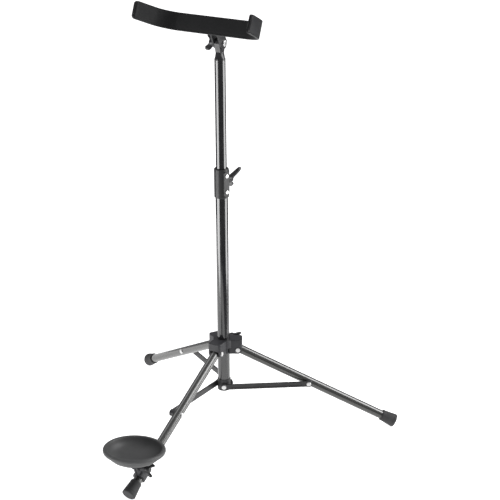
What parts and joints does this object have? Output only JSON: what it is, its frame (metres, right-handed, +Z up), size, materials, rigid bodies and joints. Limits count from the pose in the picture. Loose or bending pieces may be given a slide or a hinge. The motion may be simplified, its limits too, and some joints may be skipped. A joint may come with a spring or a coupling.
{
  "type": "wind instrument floor stand",
  "caption": "Folding tripod floor stand for a large wind instrument: telescopic column, tilting padded U cradle on top and a round support cup clamped on one leg.",
  "frame": {"origin": "on the floor, on the column's axis, level with the soles of the feet", "axes": "+Z up the column; -Y along the leg that carries the cup, which is also the side the cradle opens to"},
  "size_m": [0.5564, 0.5108, 0.7967],
  "materials": {
    "tube_black": "gloss",
    "black_plastic": "satin",
    "black_steel": "satin",
    "zinc": "polished",
    "rubber": "matte",
    "foam": "matte"
  },
  "bodies": {
    "column": {"lower_tube": "tube_black", "base_fitting": "black_steel", "strut_pivot_rivets": "zinc", "collar": "black_plastic", "collar_bush": "black_plastic", "collar_pins": "zinc"},
    "collar_lock": {"collar_screw": "zinc", "collar_wing": "black_plastic"},
    "guide": {"riser_guide": "black_plastic"},
    "riser": {"upper_tube": "tube_black", "tilt_head": "black_plastic"},
    "cradle": {"cradle_bracket": "black_steel", "cradle_band": "black_steel", "cradle_pad": "foam", "cradle_screws": "zinc", "tilt_bolt": "zinc", "tilt_washer": "zinc"},
    "tilt_nut": {"tilt_wing_nut": "black_plastic"},
    "hub": {"hub": "black_plastic", "hub_pivot_rivets": "zinc"},
    "hub_lock": {"hub_screw": "zinc", "hub_wing": "black_plastic"},
    "cup_clamp": {"leg_clamp": "black_plastic"},
    "cup": {"cup_base": "black_plastic", "cup_bowl": "rubber", "cup_bolt": "zinc", "cup_spacer": "black_plastic"},
    "cup_nut": {"cup_wing_nut": "black_plastic"},
    "leg_1": {"leg_1_tube": "tube_black", "leg_1_plug": "black_plastic", "leg_1_foot": "rubber", "leg_1_spacer": "black_plastic", "leg_1_rivet": "zinc"},
    "strut_1": {"strut_1": "black_steel", "strut_1_rivet": "zinc"},
    "leg_2": {"leg_2_tube": "tube_black", "leg_2_plug": "black_plastic", "leg_2_foot": "rubber", "leg_2_spacer": "black_plastic", "leg_2_rivet": "zinc"},
    "strut_2": {"strut_2": "black_steel", "strut_2_rivet": "zinc"},
    "leg_3": {"leg_3_tube": "tube_black", "leg_3_plug": "black_plastic", "leg_3_foot": "rubber", "leg_3_spacer": "black_plastic", "leg_3_rivet": "zinc"},
    "strut_3": {"strut_3": "black_steel", "strut_3_rivet": "zinc"}
  },
  "joints": [
    {"name": "hub_slide", "type": "slide", "parent": "column", "child": "hub", "axis": [0, 0, 1], "range_m": [0, 0.22355]},
    {"name": "height_slide", "type": "slide", "parent": "column", "child": "guide", "axis": [0, 0, 1], "range_m": [-0.185, 0.15]},
    {"name": "riser_swivel", "type": "hinge", "parent": "guide", "child": "riser", "pos_m": [0, 0, 0.49495], "axis": [0, 0, 1], "continuous": true},
    {"name": "cradle_tilt", "type": "hinge", "parent": "riser", "child": "cradle", "pos_m": [0, 0, 0.72095], "axis": [-1, 0, 0], "range_deg": [-70, 67]},
    {"name": "tilt_nut_turn", "type": "hinge", "parent": "cradle", "child": "tilt_nut", "pos_m": [0, 0, 0.72095], "axis": [-1, 0, 0], "continuous": true},
    {"name": "collar_lock_turn", "type": "hinge", "parent": "column", "child": "collar_lock", "pos_m": [0, 0, 0.47345], "axis": [0.0872, 0.9962, 0], "continuous": true},
    {"name": "hub_lock_turn", "type": "hinge", "parent": "hub", "child": "hub_lock", "pos_m": [0, 0, 0.17122], "axis": [0, 1, 0], "continuous": true},
    {"name": "leg_1_fold", "type": "hinge", "parent": "hub", "child": "leg_1", "pos_m": [0, -0.026, 0.15847], "axis": [1, 0, 0], "range_deg": [0, 60.65]},
    {"name": "strut_1_fold", "type": "hinge", "parent": "column", "child": "strut_1", "pos_m": [0, 0, 0.08595], "axis": [-1, 0, 0], "range_deg": [0, 76.27]},
    {"name": "leg_2_fold", "type": "hinge", "parent": "hub", "child": "leg_2", "pos_m": [0.02252, 0.013, 0.15847], "axis": [-0.5, 0.866, 0], "range_deg": [0, 60.65]},
    {"name": "strut_2_fold", "type": "hinge", "parent": "column", "child": "strut_2", "pos_m": [0, 0, 0.08595], "axis": [0.5, -0.866, 0], "range_deg": [0, 76.27]},
    {"name": "leg_3_fold", "type": "hinge", "parent": "hub", "child": "leg_3", "pos_m": [-0.02252, 0.013, 0.15847], "axis": [-0.5, -0.866, 0], "range_deg": [0, 60.65]},
    {"name": "strut_3_fold", "type": "hinge", "parent": "column", "child": "strut_3", "pos_m": [0, 0, 0.08595], "axis": [0.5, 0.866, 0], "range_deg": [0, 76.27]},
    {"name": "cup_slide", "type": "slide", "parent": "leg_1", "child": "cup_clamp", "axis": [0, -0.8878, -0.4602], "range_m": [-0.08, 0]},
    {"name": "cup_tilt", "type": "hinge", "parent": "cup_clamp", "child": "cup", "pos_m": [0, -0.2838, 0.05019], "axis": [1, 0, 0], "range_deg": [-10, 45]},
    {"name": "cup_nut_turn", "type": "hinge", "parent": "cup", "child": "cup_nut", "pos_m": [0, -0.2838, 0.05019], "axis": [1, 0, 0], "continuous": true}
  ],
  "couplings": [
    {"joint": "leg_1_fold", "follows": "hub_slide", "rad_per_m": 4.7312},
    {"joint": "strut_1_fold", "follows": "hub_slide", "rad_per_m": 5.9505},
    {"joint": "leg_2_fold", "follows": "hub_slide", "rad_per_m": 4.7312},
    {"joint": "strut_2_fold", "follows": "hub_slide", "rad_per_m": 5.9505},
    {"joint": "leg_3_fold", "follows": "hub_slide", "rad_per_m": 4.7312},
    {"joint": "strut_3_fold", "follows": "hub_slide", "rad_per_m": 5.9505}
  ]
}
